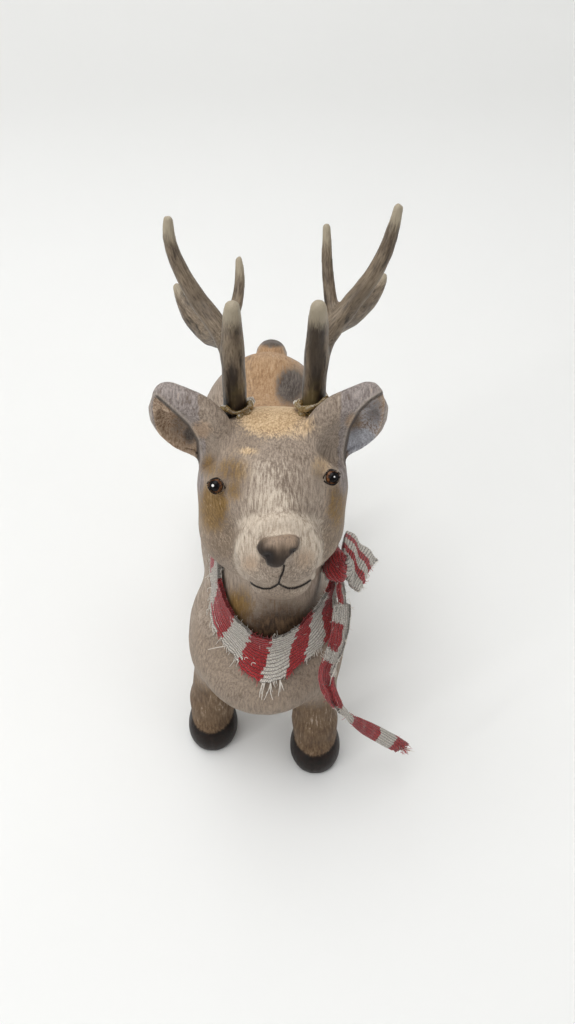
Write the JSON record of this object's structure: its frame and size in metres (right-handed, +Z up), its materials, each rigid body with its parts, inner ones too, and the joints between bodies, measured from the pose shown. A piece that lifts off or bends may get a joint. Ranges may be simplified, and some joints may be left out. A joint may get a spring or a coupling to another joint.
{
  "type": "reindeer figurine",
  "caption": "Standing reindeer figurine with branched antlers glued into the head, upright cupped ears and a striped cloth scarf knotted round its neck.",
  "frame": {"origin": "centre of the whole part's bounding box at the level of the hoof soles", "axes": "+Z up, the animal looks along -Y and its left side is at +X"},
  "size_m": [0.0924, 0.1715, 0.2168],
  "materials": {
    "cast_body": "hand-painted cast resin, satin, fur strokes",
    "antler": "painted cast resin, dark streaks and pale tips",
    "glue": "clear yellowish hot glue",
    "scarf": "coarse woven cloth, red and off-white stripes"
  },
  "bodies": {
    "root": {"body": "cast_body", "antler_left": "antler", "antler_right": "antler", "glue_left": "glue", "glue_right": "glue", "scarf": "scarf"}
  },
  "joints": []
}
